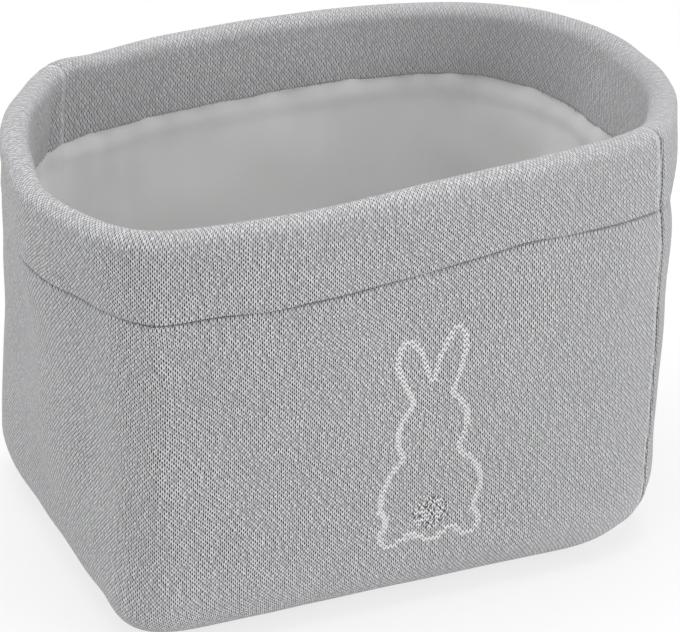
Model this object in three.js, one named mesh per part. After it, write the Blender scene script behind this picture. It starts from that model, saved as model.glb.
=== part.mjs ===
// A soft, nearly rectangular basket with padded knit walls. The top of the walls is turned
// down outside as a cuff, the inside is lined, and the base is stiffened by a board.
// Millimetres, +Z up, +X along the longer side, the front towards -Y.
import * as THREE from "three";

// Foot and rim outlines, at the outer face of the fabric
const footHalfLength = 127.1;
const footHalfWidth = 101;
const footSquareness = 5.9; // superellipse exponent: 2 is an ellipse, large is a rectangle
const rimHalfLength = 145.9;
const rimHalfWidth = 103.3;
const rimSquareness = 2.45;
const rimShiftX = 7.2; // the rim's centre leans away from the foot's
const rimShiftY = -3;
const waistLength = -4.2; // change of half-length at mid height
const waistWidth = -0.5;

// Heights and depths
const rimHeight = 190.5; // floor to the top of the rolled rim, before its wave
const cuffDepth = 37; // top of the rim to the cuff's free edge
const facingDepth = 31; // top of the rim to the inner facing's hem
const lapDepth = 8; // the lining goes this far up behind the facing
const edgeRadius = 25; // rounding between the walls and the underside
const floorLift = 0.3; // the curled walls stay this far above the base panel's face
const seamLap = 4; // flat part of the walls beyond the curl, where the base panel is sewn on

// Layers
const knit = 1.3;
const lining = 1;
const padding = 6.6;
const pressedPadding = 5.6; // under the cuff
const board = 2;
const clearance = 0.3; // between neighbouring layers

// Looseness of the fabric
const cuffStandOut = 1; // the cuff's edge beyond the wall under it
const wallHollow = 0.6; // the wall's extra inset at mid height
const pressLength = 10; // the wall narrows over this length to go behind the cuff
const pressEnd = 1; // and has done so this far under the cuff's edge
const waveStart = 75; // the rim's wave fades out down to this height
const hemBlend = 50; // the cuff edge's wave fades out over this length below it

// Waves round the basket: times round, cosine part, sine part
const rimWave = [[1, 1.2, -0.7], [2, -1, -1.8], [3, 0, 1.3]];
const hemWave = [[1, -0.5, -1.8], [2, -0.6, -0.3], [3, -2.1, -0.5]];
const rimOutlineWave = [[2, 0, 3.3], [3, 0.6, -2.5]];
const footOutlineWave = [[2, 0, -1.8], [3, 1.3, -1]];

// Corners drawn out beyond the outline: rear right, rear left, front left, front right
const cornerAngles = [45, 135, 225, 315];
const rimCorners = [1, 5.1, 6.7, 5.5];
const footCorners = [0, 0, 7.2, -1.2];
const rimCornerSpread = 10; // degrees
const footCornerSpread = 8.6;

// Vertical seams, at the rear left and the front right corner, in degrees from +X
const seamAngles = [129.5, 315.3];

// Fineness of the faceted surfaces
const stepsPerHalf = 22;
const curlSteps = 4;
const rollSteps = 6;
const foldSteps = 4;
const lipSteps = 3;
const cornerCrowding = 0.15; // more steps near the corners

const fullTurn = 2 * Math.PI;
const cuffHeight = rimHeight - cuffDepth;
const facingHeight = rimHeight - facingDepth;
const liningTop = facingHeight + lapDepth;
const lapStep = liningTop + knit + lining; // above it the facing lies on the padding again
const cuffStack = 2 * (knit + clearance); // the two fabrics of the cuff
const paddingOuter = cuffStack + knit + clearance;
const paddingInner = paddingOuter + pressedPadding;
const rollRadius = (paddingInner + clearance + knit) / 2;
const rollCentre = rimHeight - rollRadius;

function degrees(value) {
  return THREE.MathUtils.degToRad(value);
}

// A sum of cosines and sines of whole turns
function wave(terms, angle) {
  const part = (sum, [times, cosine, sine]) =>
    sum + cosine * Math.cos(times * angle) + sine * Math.sin(times * angle);
  return terms.reduce(part, 0);
}

// A bell-shaped rise at each corner
function cornerPull(pulls, spread, angle) {
  return pulls.reduce((sum, pull, index) => {
    const corner = degrees(cornerAngles[index]);
    const away = Math.atan2(Math.sin(angle - corner), Math.cos(angle - corner));
    return sum + pull * Math.exp(-((away / degrees(spread)) ** 2));
  }, 0);
}

// A point of the basket: the angle goes round it, the inset goes in from the outer face
function surfacePoint(angle, inset, height) {
  const rise = height / rimHeight;
  const mid = 4 * rise * (1 - rise);
  const halfLength = THREE.MathUtils.lerp(footHalfLength, rimHalfLength, rise) + waistLength * mid - inset;
  const halfWidth = THREE.MathUtils.lerp(footHalfWidth, rimHalfWidth, rise) + waistWidth * mid - inset;
  const power = THREE.MathUtils.lerp(footSquareness, rimSquareness, rise);
  const cosine = Math.cos(angle);
  const sine = Math.sin(angle);
  const reach = (Math.abs(cosine) ** power + Math.abs(sine) ** power) ** (-1 / power);
  const flat = new THREE.Vector2(halfLength * reach * cosine, halfWidth * reach * sine);
  const upper = wave(rimOutlineWave, angle) + cornerPull(rimCorners, rimCornerSpread, angle);
  const lower = wave(footOutlineWave, angle) + cornerPull(footCorners, footCornerSpread, angle);
  flat.setLength(flat.length() + rise * rise * upper + (1 - rise) * lower);
  const rimShare = THREE.MathUtils.clamp((height - waveStart) / (rimHeight - waveStart), 0, 1);
  const aboveHem = (rimHeight - height) / cuffDepth;
  const belowHem = 1 - (cuffHeight - height) / hemBlend;
  const hemShare = THREE.MathUtils.clamp(Math.min(aboveHem, belowHem), 0, 1);
  return new THREE.Vector3(
    flat.x + rimShiftX * rise,
    flat.y + rimShiftY * rise,
    height + rimShare * wave(rimWave, angle) + hemShare * wave(hemWave, angle),
  );
}

// How far the wall is pressed in to go behind the cuff, from 0 to 1
function press(height) {
  const start = cuffHeight - pressLength;
  return THREE.MathUtils.clamp((height - start) / (pressLength - pressEnd), 0, 1);
}

// Inset of the wall's outer face
function wallFace(height) {
  const share = THREE.MathUtils.clamp((height - edgeRadius) / (cuffHeight - edgeRadius), 0, 1);
  const free = cuffStandOut * Math.sin((share * Math.PI) / 2) + wallHollow * Math.sin(share * Math.PI);
  return THREE.MathUtils.lerp(free, cuffStack, press(height));
}

// Depths of the layers' faces behind the wall's outer face
const shellOuter = () => 0;
const shellInner = () => knit;
const padOuter = () => knit + clearance;
const padInner = (height) => padOuter() + THREE.MathUtils.lerp(padding, pressedPadding, press(height));
const liningOuter = (height) => padInner(height) + clearance;
const liningInner = (height) => liningOuter(height) + lining;

// One face of a layer, from the underside round the curl and up the wall, as [inset, height]
function layerFace(depth, tail, heights) {
  const low = depth(0);
  const radius = edgeRadius - low;
  const points = [];
  if (tail > 0) {
    points.push([edgeRadius + tail, floorLift + low]);
  }
  for (let step = 0; step < curlSteps; step += 1) {
    const turn = (step / curlSteps) * (Math.PI / 2);
    points.push([edgeRadius - radius * Math.sin(turn), floorLift + edgeRadius - radius * Math.cos(turn)]);
  }
  for (const height of heights) {
    points.push([wallFace(height) + depth(height), height]);
  }
  return points;
}

// Points of a circle in the [inset, height] plane, by angle from the inward direction
function arc(inset, height, radius, start, end, steps) {
  const points = [];
  for (let step = 0; step <= steps; step += 1) {
    const angle = degrees(THREE.MathUtils.lerp(start, end, step / steps));
    points.push([inset + radius * Math.cos(angle), height + radius * Math.sin(angle)]);
  }
  return points;
}

const lowerHeights = [floorLift + edgeRadius, waveStart, cuffHeight - hemBlend, cuffHeight - pressLength];
const wallHeights = [...lowerHeights, cuffHeight - pressEnd].sort((a, b) => a - b);

const cuffHeights = [facingHeight, lapStep];

// A line at one inset through the given heights
function upright(inset, heights) {
  return heights.map((height) => [inset, height]);
}

// The angles of one half, from one seam to the other, closer together near the corners
function halfAngles(half) {
  const start = degrees(seamAngles[half]);
  const end = degrees(seamAngles[1 - half]) + (half === 1 ? fullTurn : 0);
  const gap = clearance / (2 * rimHalfLength);
  const angles = [];
  for (let step = 0; step <= stepsPerHalf; step += 1) {
    const even = THREE.MathUtils.lerp(start + gap, end - gap, step / stepsPerHalf);
    angles.push(even + cornerCrowding * Math.sin(4 * even));
  }
  return angles;
}

// A closed mesh from its points and triangles, turned so that its faces point out
function closedMesh(points, triangles) {
  const volume = triangles.reduce((sum, [a, b, c]) => {
    const across = new THREE.Vector3().crossVectors(points[b], points[c]);
    return sum + points[a].dot(across);
  }, 0);
  const outward = volume > 0 ? triangles : triangles.map(([a, b, c]) => [a, c, b]);
  const geometry = new THREE.BufferGeometry().setFromPoints(points);
  geometry.setIndex(outward.flat());
  geometry.computeVertexNormals();
  return geometry;
}

// A layer's section, given as two faces with as many points each, carried round one half.
// Each quad is split from its lower to its upper end, so that neighbouring layers nest.
function sweepHalf({ outer, inner }, half) {
  const angles = halfAngles(half);
  const section = [...outer, ...inner.toReversed()];
  const count = section.length;
  const points = angles.flatMap((angle) =>
    section.map(([inset, height]) => surfacePoint(angle, inset, height)),
  );
  const triangles = [];
  for (let ring = 0; ring < angles.length - 1; ring += 1) {
    for (let index = 0; index < count; index += 1) {
      const a = ring * count + index;
      const b = ring * count + ((index + 1) % count);
      const rising = section[index][1] <= section[(index + 1) % count][1];
      if (rising) {
        triangles.push([a, b, b + count], [a, b + count, a + count]);
      } else {
        triangles.push([a, b, a + count], [b, b + count, a + count]);
      }
    }
  }
  const last = (angles.length - 1) * count;
  for (let index = 0; index < outer.length - 1; index += 1) {
    const next = index + 1;
    const back = count - 1 - index;
    triangles.push([index, back, next], [next, back, back - 1]);
    triangles.push([index + last, next + last, back + last], [next + last, back - 1 + last, back + last]);
  }
  return closedMesh(points, triangles);
}

// A flat sheet with the basket's outline, from one height to another
function sheet(inset, bottom, top) {
  const angles = [...halfAngles(0), ...halfAngles(1)];
  const count = angles.length;
  const outline = angles.map((angle) => surfacePoint(angle, inset, bottom));
  const points = [
    ...outline,
    ...outline.map((point) => new THREE.Vector3(point.x, point.y, top)),
    new THREE.Vector3(0, 0, bottom),
    new THREE.Vector3(0, 0, top),
  ];
  const triangles = [];
  for (let index = 0; index < count; index += 1) {
    const next = (index + 1) % count;
    triangles.push([index, next, next + count], [index, next + count, index + count]);
    triangles.push([2 * count, next, index], [2 * count + 1, index + count, next + count]);
  }
  return closedMesh(points, triangles);
}

// Outer knit: from the base seam up the wall, over in a tight fold, and down behind the cuff's face
function shellSection() {
  const returnOuter = knit + clearance;
  const returnInner = returnOuter + knit;
  const foldCentre = (returnOuter + cuffStack + knit) / 2;
  const heights = [...wallHeights, ...cuffHeights];
  return {
    outer: [
      ...layerFace(shellOuter, seamLap, heights),
      ...arc(foldCentre, rollCentre, cuffStack - foldCentre, 0, 180, foldSteps),
      ...upright(returnInner, cuffHeights).toReversed(),
      [returnInner, cuffHeight],
    ],
    inner: [
      ...layerFace(shellInner, seamLap, heights),
      ...arc(foldCentre, rollCentre, cuffStack + knit - foldCentre, 0, 180, foldSteps),
      ...upright(returnOuter, cuffHeights).toReversed(),
      [returnOuter, cuffHeight],
    ],
  };
}

// Facing: the cuff's outer face, over the roll, and down inside to its hem over the lining
function facingSection() {
  const seat = paddingInner + clearance;
  const hemSeat = seat + lining + clearance;
  return {
    outer: [
      [0, cuffHeight + knit / 2],
      ...upright(0, cuffHeights),
      ...arc(rollRadius, rollCentre, rollRadius, 180, 0, rollSteps),
      [seat + knit, lapStep],
      [hemSeat + knit, liningTop],
      [hemSeat + knit, facingHeight],
    ],
    inner: [
      [knit, cuffHeight],
      ...upright(knit, cuffHeights),
      ...arc(rollRadius, rollCentre, rollRadius - knit, 180, 0, rollSteps),
      [seat, lapStep],
      [hemSeat, liningTop + clearance],
      [hemSeat, facingHeight],
    ],
  };
}

// Padding: fills the wall, the curl and the roll, up to a lip over the shell's tight fold
function paddingSection() {
  const radius = rollRadius - knit - clearance;
  const foldCentre = (knit + clearance + cuffStack + knit) / 2;
  const lip = THREE.MathUtils.radToDeg(Math.acos((foldCentre - rollRadius) / radius));
  const heights = [...wallHeights, ...cuffHeights];
  return {
    outer: [
      ...layerFace(padOuter, 0, heights),
      ...arc(foldCentre, rollCentre, paddingOuter - foldCentre, 0, 90, lipSteps),
    ],
    inner: [
      ...layerFace(padInner, 0, heights),
      ...arc(rollRadius, rollCentre, radius, 0, lip, lipSteps),
    ],
  };
}

// Lining of the walls: from the base lining up to its top edge behind the facing
function liningSection() {
  const heights = [...wallHeights, facingHeight, liningTop];
  return {
    outer: layerFace(liningOuter, 0, heights),
    inner: layerFace(liningInner, 0, heights),
  };
}

const knitColour = 0xa6a6a8;
const liningColour = 0xdedddb;
const paddingColour = 0xf1efe8;
const boardColour = 0xc9c2b4;
const basket = new THREE.Group();

function addPiece(name, geometry, color) {
  const material = new THREE.MeshStandardMaterial({ color, roughness: 0.95, metalness: 0 });
  const mesh = new THREE.Mesh(geometry, material);
  mesh.name = name;
  basket.add(mesh);
}

["front_left", "back_right"].forEach((side, half) => {
  addPiece(`outer_${side}`, sweepHalf(shellSection(), half), knitColour);
  addPiece(`facing_${side}`, sweepHalf(facingSection(), half), knitColour);
  addPiece(`padding_${side}`, sweepHalf(paddingSection(), half), paddingColour);
  addPiece(`lining_${side}`, sweepHalf(liningSection(), half), liningColour);
});

const boardBottom = floorLift + knit + clearance;
const boardTop = boardBottom + board;
const padTop = floorLift + padInner(0);
const baseLiningBottom = floorLift + liningOuter(0);
const baseInset = edgeRadius + 2 * clearance;
addPiece("outer_base", sheet(baseInset + seamLap, 0, knit), knitColour);
addPiece("base_board", sheet(baseInset, boardBottom, boardTop), boardColour);
addPiece("base_padding", sheet(baseInset, boardTop + clearance, padTop), paddingColour);
addPiece("lining_base", sheet(baseInset, baseLiningBottom, baseLiningBottom + lining), liningColour);

// The origin is the middle of the basket's footprint, on the floor
const box = new THREE.Box3().setFromObject(basket);
const middle = box.getCenter(new THREE.Vector3());
basket.position.set(-middle.x, -middle.y, -box.min.z);
basket.updateMatrixWorld(true);

export default basket;
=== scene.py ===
# %% [markdown]
# # A soft knit storage basket
#
# This basket is a tube of grey knitted cloth round a padded wall, closed by a stiffened base.
# The top of the tube is turned down outside as a cuff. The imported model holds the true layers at
# their true size. This notebook gives each layer its finished surface: fabric that is rounded at
# its seams, a rolled rim, a loose lining, and a knit that follows the panels' own threads.

import math

import bpy
import numpy as np
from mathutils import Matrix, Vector


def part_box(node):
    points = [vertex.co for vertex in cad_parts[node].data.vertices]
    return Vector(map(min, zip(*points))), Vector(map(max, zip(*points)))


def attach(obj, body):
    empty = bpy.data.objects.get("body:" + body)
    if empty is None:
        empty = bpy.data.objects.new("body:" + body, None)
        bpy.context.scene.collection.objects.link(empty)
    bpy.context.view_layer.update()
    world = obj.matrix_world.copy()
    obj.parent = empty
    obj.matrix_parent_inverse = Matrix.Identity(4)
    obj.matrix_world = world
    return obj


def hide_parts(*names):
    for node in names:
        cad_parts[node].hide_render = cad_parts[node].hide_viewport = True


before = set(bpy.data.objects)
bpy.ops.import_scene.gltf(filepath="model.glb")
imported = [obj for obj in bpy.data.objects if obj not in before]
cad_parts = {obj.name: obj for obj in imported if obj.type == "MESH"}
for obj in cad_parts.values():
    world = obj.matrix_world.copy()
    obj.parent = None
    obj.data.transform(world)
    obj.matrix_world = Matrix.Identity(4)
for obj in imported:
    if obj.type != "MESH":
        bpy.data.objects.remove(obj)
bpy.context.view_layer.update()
scene = bpy.context.scene
print("nodes:", ", ".join(sorted(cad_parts)))

# %% [markdown]
# ## The basket's own sizes
#
# Every size is in millimetres here and becomes metres when a mesh is made. They are the sizes
# that the pattern cutter would know: the outline at the foot and at the rim, the cuff's depth,
# and the thickness of each layer.

# %% Driving sizes
MM = 0.001
FOOT_HALF = (127.1, 101.0)
RIM_HALF = (145.9, 103.3)
WAIST = (-4.2, -0.5)
FOOT_SQUARENESS = 5.9
RIM_SQUARENESS = 2.45
RIM_SHIFT = (7.2, -3.0)
RIM_HEIGHT = 190.5
CUFF_DEPTH = 37.0
FACING_DEPTH = 31.0
LAP_DEPTH = 8.0
EDGE_RADIUS = 25.0
FLOOR_LIFT = 0.3
SEAM_LAP = 4.0
KNIT = 1.3
LINING = 1.0
PADDING = 6.6
PRESSED_PADDING = 5.6
CLEARANCE = 0.3
CUFF_STAND_OUT = 1.0
WALL_HOLLOW = 0.6
PRESS_LENGTH = 10.0
PRESS_END = 1.0
WAVE_START = 75.0
HEM_BLEND = 50.0

# %% Sizes that follow from them
CUFF_HEIGHT = RIM_HEIGHT - CUFF_DEPTH
FACING_HEIGHT = RIM_HEIGHT - FACING_DEPTH
LINING_TOP = FACING_HEIGHT + LAP_DEPTH
CUFF_STACK = 2 * (KNIT + CLEARANCE)
PADDING_OUTER = CUFF_STACK + KNIT + CLEARANCE
PADDING_INNER = PADDING_OUTER + PRESSED_PADDING
ROLL_RADIUS = (PADDING_INNER + CLEARANCE + KNIT) / 2
ROLL_CENTRE = RIM_HEIGHT - ROLL_RADIUS
BASE_INSET = EDGE_RADIUS + 2 * CLEARANCE
FOOT_RING = FLOOR_LIFT + EDGE_RADIUS
print(f"rim roll {2 * ROLL_RADIUS:.1f} mm thick, cuff from {CUFF_HEIGHT:.1f} to {RIM_HEIGHT:.1f} mm")

# %% [markdown]
# ## The outline
#
# Seen from above, the foot is nearly a rectangle and the rim nearly an oval, because the board
# keeps the foot square and nothing keeps the rim so. A superellipse does both with one exponent:
# the sum of the powers of the two shares is one. Long waves and bells at the corners then move it
# to the hand-made shape.

# %% The outline's waves
# Each wave is (times round, cosine part, sine part), in millimetres.
RIM_WAVE = ((1, 1.2, -0.7), (2, -1.0, -1.8), (3, 0.0, 1.3))
HEM_WAVE = ((1, -0.5, -1.8), (2, -0.6, -0.3), (3, -2.1, -0.5))
RIM_OUTLINE_WAVE = ((2, 0.0, 3.3), (3, 0.6, -2.5))
FOOT_OUTLINE_WAVE = ((2, 0.0, -1.8), (3, 1.3, -1.0))
CORNERS = (45.0, 135.0, 225.0, 315.0)
RIM_CORNERS = (1.0, 5.1, 6.7, 5.5)
FOOT_CORNERS = (0.0, 0.0, 7.2, -1.2)
RIM_CORNER_SPREAD = 10.0
FOOT_CORNER_SPREAD = 8.6
SEAMS = (131.0, 315.3)

# Each touch is (angle, spread, height, spread up, out): a place where the wall swells or sinks.
TOUCHES = (
    (330.0, 18.0, 90.0, 55.0, 1.3),
    (332.0, 16.0, 128.0, 18.0, 1.1),
    (326.0, 10.0, 152.0, 8.0, -1.5),
    (326.0, 12.0, 32.0, 12.0, 0.8),
    (168.0, 14.0, 122.0, 14.0, -0.5),
    (306.0, 5.0, 10.0, 12.0, 2.4),
    (320.0, 5.5, 12.0, 12.0, -2.4),
    (222.0, 6.0, 9.0, 10.0, 1.3),
    (141.0, 6.0, 190.0, 30.0, -1.9),
    (129.0, 4.0, 190.0, 30.0, 0.7),
    (189.0, 16.0, 76.0, 36.0, 6.0),
    (189.0, 16.0, 145.0, 28.0, 5.4),
    (212.0, 7.2, 82.0, 34.0, -3.4),
    (228.2, 3.8, 74.0, 42.0, 2.8),
    (228.2, 3.8, 147.0, 27.0, 2.6),
    (212.0, 7.2, 145.0, 28.0, -2.8),
)
# Each dip is (angle, spread, up): where the cuff's edge or the rim itself sits higher or lower.
HEM_DIPS = (
    (194.0, 10.0, 1.2), (219.4, 3.7, 1.2), (229.0, 3.0, -0.3),
    (238.0, 5.0, 0.6), (290.0, 8.0, 1.7), (316.0, 5.0, -1.0),
)
RIM_DIPS = ((128.5, 4.0, 1.5), (138.0, 5.0, -0.6))


def wave(terms, angle):
    """The sum of cosine and sine parts, each turning a whole number of times round the basket."""
    parts = [c * np.cos(n * angle) + s * np.sin(n * angle) for n, c, s in terms]
    return np.sum(parts, axis=0)


def bell(angle, centre, spread):
    """One at the centre angle, falling off each side as exp(-(distance / spread) squared)."""
    away = np.angle(np.exp(1j * (angle - math.radians(centre))))
    return np.exp(-((away / math.radians(spread)) ** 2))


def corner_pull(pulls, spread, angle):
    """How far the four corners are drawn out: a bell at each, as high as its pull."""
    return np.sum([p * bell(angle, c, spread) for p, c in zip(pulls, CORNERS)], axis=0)


def mix(low, high, share):
    """The value that lies that share of the way from low to high."""
    return low + (high - low) * share


def smooth(low, high, value):
    """Zero below low, one above high and 3t^2 - 2t^3 between them."""
    t = np.clip((value - low) / (high - low), 0, 1)
    return t * t * (3 - 2 * t)


# %% A point of the basket
def swells(angle, height):
    """How far the wall stands out by hand: each touch is a bell round the wall times a bell up it."""
    parts = [
        out * bell(angle, centre, spread) * np.exp(-(((height - level) / rise) ** 2))
        for centre, spread, level, rise, out in TOUCHES
    ]
    return np.sum(parts, axis=0)


def dips(table, angle):
    """The lift of an edge: the sum of the bells round it."""
    return np.sum([up * bell(angle, centre, spread) for centre, spread, up in table], axis=0)


def raw_point(angle, inset, height, by_hand=1.0):
    """The point, in millimetres, at an angle round the basket, in from the outer face, at a height.

    The half sizes go evenly from the foot's to the rim's, with a waist between them. The reach is
    (|cos|^n + |sin|^n)^(-1/n). The waves change the distance from the middle, and near the top
    the height as well. by_hand is the share of the touches and dips.
    """
    angle, inset, height = np.broadcast_arrays(*(np.asarray(v, float) for v in (angle, inset, height)))
    rise = height / RIM_HEIGHT
    middle = 4 * rise * (1 - rise)
    half_length = mix(FOOT_HALF[0], RIM_HALF[0], rise) + WAIST[0] * middle - inset
    half_width = mix(FOOT_HALF[1], RIM_HALF[1], rise) + WAIST[1] * middle - inset
    power = mix(FOOT_SQUARENESS, RIM_SQUARENESS, rise)
    cosine = np.cos(angle)
    sine = np.sin(angle)
    reach = (np.abs(cosine) ** power + np.abs(sine) ** power) ** (-1 / power)
    x = half_length * reach * cosine
    y = half_width * reach * sine
    upper = wave(RIM_OUTLINE_WAVE, angle) + corner_pull(RIM_CORNERS, RIM_CORNER_SPREAD, angle)
    lower = wave(FOOT_OUTLINE_WAVE, angle) + corner_pull(FOOT_CORNERS, FOOT_CORNER_SPREAD, angle)
    distance = np.hypot(x, y)
    grow = (distance + rise**2 * upper + (1 - rise) * lower + by_hand * swells(angle, height)) / distance
    rim_share = np.clip((height - WAVE_START) / (RIM_HEIGHT - WAVE_START), 0, 1)
    hem = np.minimum((RIM_HEIGHT - height) / CUFF_DEPTH, 1 - (CUFF_HEIGHT - height) / HEM_BLEND)
    lift = rim_share * wave(RIM_WAVE, angle) + np.clip(hem, 0, 1) * wave(HEM_WAVE, angle)
    lift = lift + by_hand * np.clip(hem, 0, 1) * dips(HEM_DIPS, angle)
    lift = lift + by_hand * np.clip((height - CUFF_HEIGHT) / CUFF_DEPTH, 0, 1) * dips(RIM_DIPS, angle)
    return np.stack([x * grow + RIM_SHIFT[0] * rise, y * grow + RIM_SHIFT[1] * rise, height + lift], -1)


def middle_of(points):
    """The middle of the box round the points."""
    return (points.min(0) + points.max(0)) / 2


base_low, base_high = (np.array(corner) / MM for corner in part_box("outer_base"))
base_outline = raw_point(np.linspace(0, 2 * math.pi, 721), BASE_INSET + SEAM_LAP, 0, 0)
SHIFT = (base_low + base_high) / 2 - middle_of(base_outline)
SHIFT[2] = 0
print("the frame's origin is at", np.round(-SHIFT, 2), "mm from the foot's middle")

# %% [markdown]
# ## Threads round and up
#
# The knit's columns stand upright and its rows run round, so every panel needs two lengths: how
# far round from a corner, and how far up along the cloth. The girth is about the same at each
# height, as it is on a tube of cloth, so the columns stay parallel.

# %% Lengths round the basket
FINE = np.radians(np.linspace(0, 360, 2881))
LEVELS = np.array([0.0, 12.0, FOOT_RING, 50.0, 75.0, 100.0, 125.0, 150.0, 170.0, RIM_HEIGHT])
CORNER_LENGTH = 250.0  # the length round is this much at the front left and the rear right corner


def running_length(points):
    """Distance along a line of points, from its start: the sum of its steps."""
    steps = np.linalg.norm(np.diff(points, axis=0), axis=1)
    return np.concatenate([[0.0], np.cumsum(steps)])


girths = np.stack([running_length(raw_point(FINE, 0, max(level, FOOT_RING))) for level in LEVELS])
GIRTH = girths[4, -1]
print("girth at each level:", np.round(girths[:, -1], 1), "mm")


def length_round(angle, height):
    """How far round the outer face an angle is, at a height, by interpolating the levels' tables."""
    angle, height = np.broadcast_arrays(np.asarray(angle, float), np.asarray(height, float))
    turns = np.floor(angle / (2 * math.pi))
    within = angle - turns * 2 * math.pi
    rows = np.stack([np.interp(within, FINE, row) + turns * row[-1] for row in girths])
    place = np.interp(height, LEVELS, np.arange(len(LEVELS)))
    lower = np.clip(np.floor(place).astype(int), 0, len(LEVELS) - 2)
    low_row = np.take_along_axis(rows, lower[None], 0)[0]
    high_row = np.take_along_axis(rows, lower[None] + 1, 0)[0]
    return mix(low_row, high_row, place - lower)


# %% The angles of a panel
HALVES = ("front_left", "back_right")
HALF_CORNERS = (225.0, 405.0)
RING_STEP = 1.7
SEAM_STEPS = (0.0, 0.12, 0.3, 0.55, 0.9, 1.3, 1.8, 2.4, 3.2)  # distances from a seam
SEAM_GAP = 0.05


def half_span(half):
    """The angles where a half's panel starts and ends."""
    start = math.radians(SEAMS[half])
    end = math.radians(SEAMS[1 - half]) + (2 * math.pi if half == 1 else 0)
    return start, end


# Each drift is (height, degrees): how far the front right seam leans from its angle as it climbs.
SEAM_DRIFT = (
    (25.0, 0.1), (50.0, 1.4), (85.0, 1.6), (115.0, 1.0),
    (150.0, 0.4), (156.0, -0.9), (190.0, -1.1),
)
SEAM_DRIFT_SPREAD = 9.0


def leaned(angle, height):
    """The angle moved with the front right seam's lean, which fades out within some degrees of it."""
    heights, degrees = np.array(SEAM_DRIFT).T
    lean = np.radians(np.interp(height, heights, degrees))
    return angle + lean * bell(angle, SEAMS[1], SEAM_DRIFT_SPREAD)


def panel_angles(half, step=RING_STEP):
    """Angles from one seam to the other, a step of cloth apart, and closer beside the seams.

    They are read off the running length of the wall's middle height.
    """
    start, end = half_span(half)
    fine = np.linspace(start, end, 1500)
    length = running_length(raw_point(fine, 0, 120.0))
    beside = np.array(SEAM_STEPS)
    inner = np.linspace(beside[-1], length[-1] - beside[-1], int(length[-1] / step))
    places = np.concatenate([beside[:-1], inner, (length[-1] - beside[:-1])[::-1]])
    places = SEAM_GAP + places * (length[-1] - 2 * SEAM_GAP) / length[-1]
    return np.interp(places, length, fine), np.minimum(places, length[-1] - places) - SEAM_GAP


for half, side in enumerate(HALVES):
    angles, seam_distance = panel_angles(half)
    print(side, "panel:", len(angles), "columns of points,", round(2 * seam_distance.max(), 1), "mm wide")

# %% [markdown]
# ## Soft surfaces
#
# Stuffed cloth is never quite even. A few long waves with mixed directions, worked out from fixed
# random numbers, make the walls swell and sink by a few tenths of a millimetre. Each wave goes a
# whole number of times round, so that it meets itself.

# %% Swellings
WAVES = 26
SWELL_LEVEL = 100.0  # swellings take the length round at this height, one for each angle
rng = np.random.default_rng(11)
times_round = rng.integers(3, 34, WAVES)
upward = rng.uniform(-1, 1, WAVES) / 38.0
phases = rng.uniform(0, 2 * math.pi, WAVES)
strengths = 1 / np.sqrt(times_round**2 + (upward * 300) ** 2)
strengths = strengths / np.sqrt(np.sum(strengths**2) / 2)


def swelling(length, height):
    """A smooth uneven field with a mean square of one: the sum of the waves' cosines."""
    turn = 2 * math.pi / GIRTH
    field = np.zeros(np.broadcast(length, height).shape)
    for times, up, phase, strength in zip(times_round, upward, phases, strengths):
        field = field + strength * np.cos(times * turn * length + 2 * math.pi * up * height + phase)
    return field


# %% [markdown]
# ## From a section to a cloth
#
# Each layer is a section carried round the basket. A section is a line in the upright plane, as
# pairs of inset and height. The cloth's two faces lie half its thickness to each side of it. The
# half thickness falls to nearly nothing at the ends, as on a rounded edge.

# %% Section tools
def resample(line, step):
    """The same line as points an even step apart, by running length."""
    line = np.asarray(line, float)
    length = running_length(line)
    count = max(int(round(length[-1] / step)), 2)
    even = np.linspace(0, length[-1], count + 1)
    return np.stack([np.interp(even, length, line[:, k]) for k in (0, 1)], -1)


def arc(centre, radius, start, end, step=0.5):
    """Points of a circle in the section's plane: angles in degrees from the inward direction."""
    count = max(int(abs(math.radians(end - start)) * radius / step), 6)
    turn = np.radians(np.linspace(start, end, count))
    return np.stack([centre[0] + radius * np.cos(turn), centre[1] + radius * np.sin(turn)], -1)


def rounding(distance, radius):
    """The share of full thickness at a distance from a round edge: a quarter circle."""
    t = np.clip(1 - distance / radius, 0, 1)
    return np.sqrt(np.maximum(1 - t * t, 0.02))


def unit(vectors):
    """The vectors at length one."""
    return vectors / np.linalg.norm(vectors, axis=-1, keepdims=True)


def inward(line):
    """The unit vectors across a section that point to the basket's filling: (rise, -run)."""
    along = unit(np.gradient(line, axis=0))
    return np.stack([along[:, 1], -along[:, 0]], -1)


def section_faces(line, thickness):
    """The outer and inner face of a cloth: the line moved half a thickness each way across it."""
    length = running_length(line)
    half = thickness / 2 * rounding(np.minimum(length, length[-1] - length), thickness / 2)
    across = inward(line) * half[:, None]
    return line - across, line + across, length


# %% A closed mesh from two faces
FAR_FROM_SEAM = 99.0


def add_mesh(name, points, faces, lengths, edge=None):
    """A mesh object from points, lists of faces, the threads' lengths and distances from a seam.

    Everything comes in millimetres. A piece with no seam counts as far from one all over.
    """
    mesh = bpy.data.meshes.new(name)
    mesh.from_pydata(((points + SHIFT) * MM).tolist(), [], faces)
    corners = np.empty(len(mesh.loops), np.int32)
    mesh.loops.foreach_get("vertex_index", corners)
    layer = mesh.uv_layers.new(name="threads")
    layer.data.foreach_set("uv", (lengths[corners] * MM).astype(np.float32).ravel())
    mask = mesh.attributes.new("edge", "FLOAT", "POINT")
    distance = np.full(len(points), FAR_FROM_SEAM) if edge is None else edge
    mask.data.foreach_set("value", distance.astype(np.float32))
    mesh.polygons.foreach_set("use_smooth", np.ones(len(mesh.polygons), bool))
    mesh.update()
    thing = bpy.data.objects.new(name, mesh)
    scene.collection.objects.link(thing)
    return thing


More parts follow.
